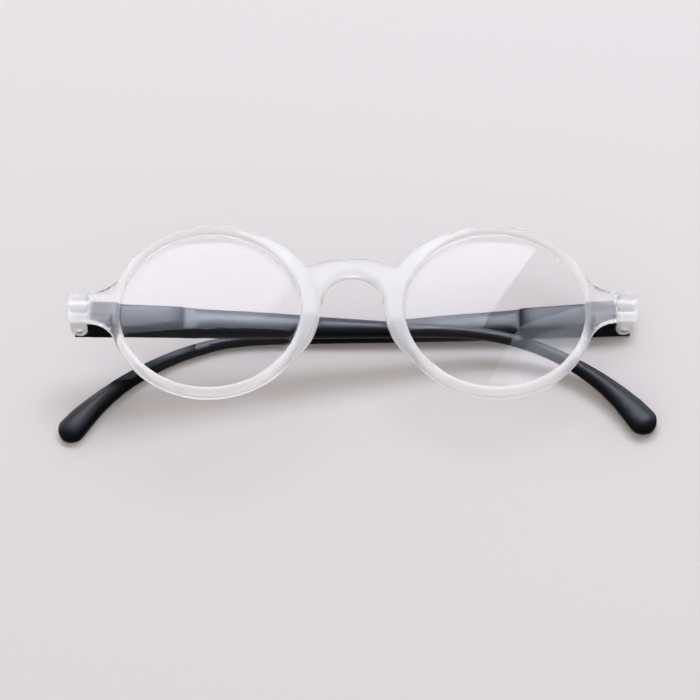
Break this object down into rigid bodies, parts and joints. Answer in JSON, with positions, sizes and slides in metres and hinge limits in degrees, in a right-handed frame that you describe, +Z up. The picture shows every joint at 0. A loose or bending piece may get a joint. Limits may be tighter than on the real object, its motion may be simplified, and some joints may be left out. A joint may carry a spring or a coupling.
{
  "type": "round reading glasses",
  "caption": "Folded round reading glasses with a frosted clear moulded front, plain lenses and slim black temples on screwed knuckle hinges.",
  "frame": {"origin": "on the flat outer side of the lower temple, where it lies on the ground under the bridge", "axes": "+X towards the viewer's right along the folded glasses, +Y towards the tops of the lenses, +Z up, out of the lenses"},
  "size_m": [0.1427, 0.054, 0.0277],
  "materials": {
    "frosted_plastic": "frosted translucent moulding with a soft satin sheen",
    "lens": "clear polished lens with a faint cool reflection",
    "black_plastic": "satin black moulding",
    "screw_steel": "turned steel"
  },
  "bodies": {
    "front": {"front_frame": "frosted_plastic", "left_lens": "lens", "right_lens": "lens", "left_hinge_screw": "screw_steel", "right_hinge_screw": "screw_steel"},
    "left_temple": {"left_temple": "black_plastic"},
    "right_temple": {"right_temple": "black_plastic"}
  },
  "joints": [
    {"name": "right_temple_hinge", "type": "hinge", "parent": "front", "child": "right_temple", "pos_m": [0.06296, 0.00085, 0.003], "axis": [-0.0349, -0.9994, 0], "range_deg": [0, 84]},
    {"name": "left_temple_hinge", "type": "hinge", "parent": "front", "child": "left_temple", "pos_m": [-0.06479, 0.00081, 0.02094], "axis": [0.0349, 0.9994, 0], "range_deg": [0, 88.5]}
  ],
  "couplings": [
    {"joint": "left_temple_hinge", "follows": "right_temple_hinge", "ratio": 1.0535}
  ]
}
